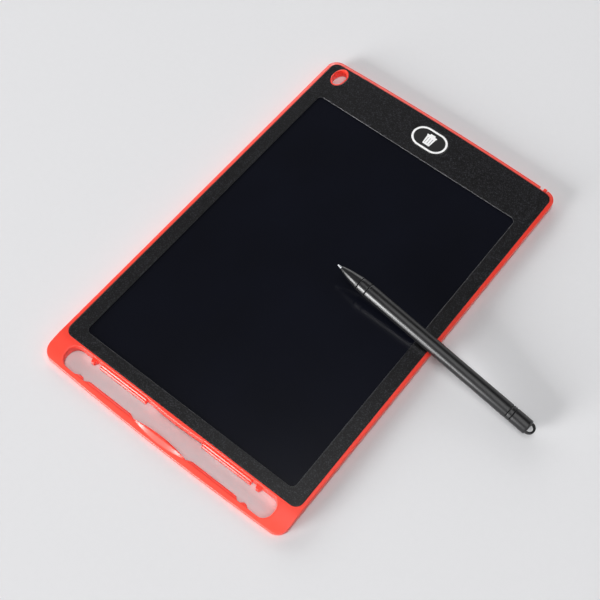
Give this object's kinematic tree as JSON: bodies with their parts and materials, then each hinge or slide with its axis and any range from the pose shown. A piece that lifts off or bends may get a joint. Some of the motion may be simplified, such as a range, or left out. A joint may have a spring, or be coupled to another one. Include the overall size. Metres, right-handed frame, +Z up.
{
  "type": "lcd writing tablet",
  "caption": "Slim LCD writing tablet with a bezel-framed screen, an erase button, a handle bar with a stylus slot, a lanyard hole and a stylus lying across its side.",
  "frame": {"origin": "centre of the flat back face, on which the tablet lies", "axes": "+Z up through the screen, +Y along the tablet towards the erase button, +X to its right as a user sees the screen"},
  "size_m": [0.2001, 0.226, 0.0167],
  "materials": {
    "coral_shell": "satin moulded plastic, coral red",
    "bezel_black": "fine-grained matt black sheet",
    "clear_tape": "thin double-sided adhesive sheet",
    "screen_film": "smooth blue-black liquid crystal film",
    "dark_board": "matt black backing",
    "button_black": "matt black moulded key",
    "white_ink": "printed white ink",
    "switch_white": "off-white moulded plastic",
    "bright_steel": "bright nickel-plated steel",
    "board_green": "green solder-masked board",
    "chip_black": "moulded black epoxy",
    "ferrite_grey": "dark grey ferrite",
    "ceramic_tan": "tan ceramic",
    "spring_brass": "spring brass strip",
    "nib_white": "pale moulded plastic",
    "stylus_black": "satin black moulded plastic"
  },
  "bodies": {
    "tablet": {"back_shell": "coral_shell", "front_bezel": "bezel_black", "bezel_tape": "clear_tape", "lcd_panel": "screen_film", "backing_board": "dark_board", "tact_switch_case": "bright_steel", "main_board": "board_green", "control_chip": "chip_black", "boost_inductor": "ferrite_grey", "capacitor_upper": "ceramic_tan", "capacitor_lower": "ceramic_tan", "screen_lead_left": "spring_brass", "screen_lead_right": "spring_brass", "lock_switch_case": "bright_steel", "coin_cell": "bright_steel", "negative_contact": "spring_brass", "positive_contact": "spring_brass", "board_screw_left": "bright_steel", "board_screw_right": "bright_steel"},
    "erase_key": {"erase_button": "button_black", "button_ring": "white_ink", "button_bin_sign": "white_ink", "tact_switch_plunger": "switch_white"},
    "lock_knob": {"lock_slider": "coral_shell"},
    "battery_cover": {"battery_door": "coral_shell", "battery_door_screw": "bright_steel"},
    "stylus": {"stylus_nib": "nib_white", "stylus_cone": "stylus_black", "stylus_collar": "stylus_black", "stylus_barrel": "stylus_black", "stylus_tail_ring": "stylus_black", "stylus_tail_cap": "stylus_black"}
  },
  "joints": [
    {"name": "erase_press", "type": "slide", "parent": "tablet", "child": "erase_key", "axis": [0, 0, -1], "range_m": [0, 0.00025], "stiffness_N_per_m": 2400},
    {"name": "lock_slide", "type": "slide", "parent": "tablet", "child": "lock_knob", "axis": [-1, 0, 0], "range_m": [0, 0.0016]},
    {"name": "battery_door_removal", "type": "slide", "parent": "tablet", "child": "battery_cover", "axis": [0, 0, -1], "range_m": [0, 0.01]},
    {"name": "stylus_lift", "type": "slide", "parent": "tablet", "child": "stylus", "axis": [0, 0, 1], "range_m": [0, 0.04]}
  ]
}
